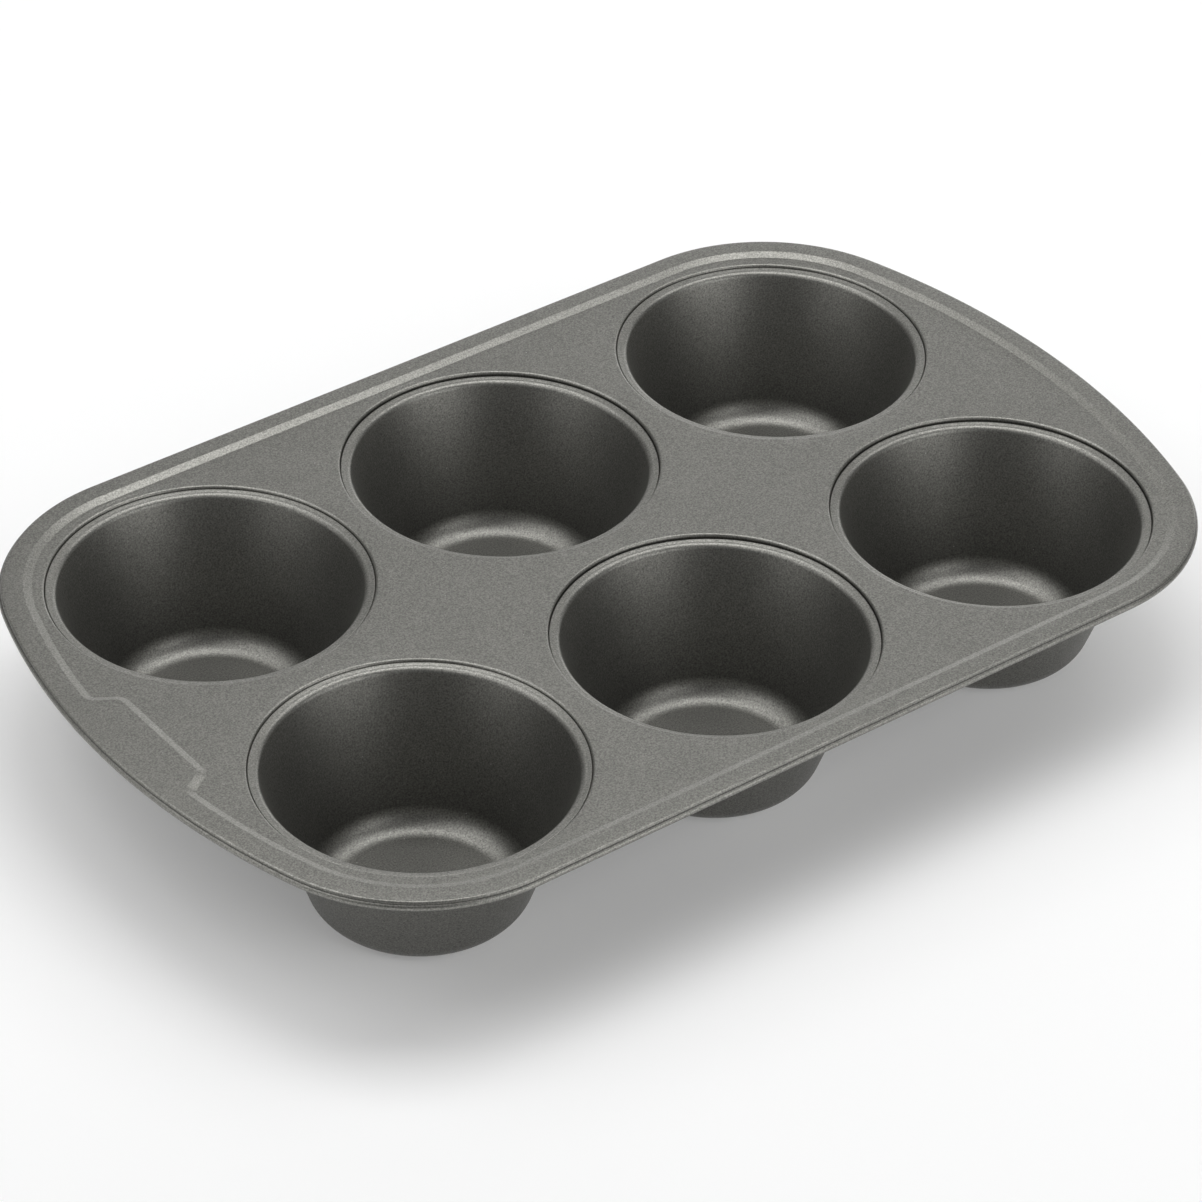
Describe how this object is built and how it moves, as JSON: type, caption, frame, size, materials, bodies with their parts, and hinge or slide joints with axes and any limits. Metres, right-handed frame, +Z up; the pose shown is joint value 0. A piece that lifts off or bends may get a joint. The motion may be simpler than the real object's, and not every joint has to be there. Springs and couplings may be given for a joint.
{
  "type": "jumbo muffin pan",
  "caption": "Rectangular jumbo muffin pan: a flat sheet tray with bowed ends and a rolled rim, holding rows of deep tapered cups whose mouths are lock-seamed to it.",
  "frame": {"origin": "under the middle of the pan, on the plane of the cup floors' undersides", "axes": "+X along the pan, away from the end with the wider border panel; +Y across it; +Z up, out of the cups' mouths"},
  "size_m": [0.3988, 0.2592, 0.0548],
  "materials": {
    "tray_coating": "satin warm grey non-stick coating on steel sheet, finely speckled",
    "cup_coating": "satin warm grey non-stick coating on drawn steel sheet, finely speckled"
  },
  "bodies": {
    "root": {"tray": "tray_coating", "cup_front_left": "cup_coating", "cup_front_middle": "cup_coating", "cup_front_right": "cup_coating", "cup_back_left": "cup_coating", "cup_back_middle": "cup_coating", "cup_back_right": "cup_coating"}
  },
  "joints": []
}
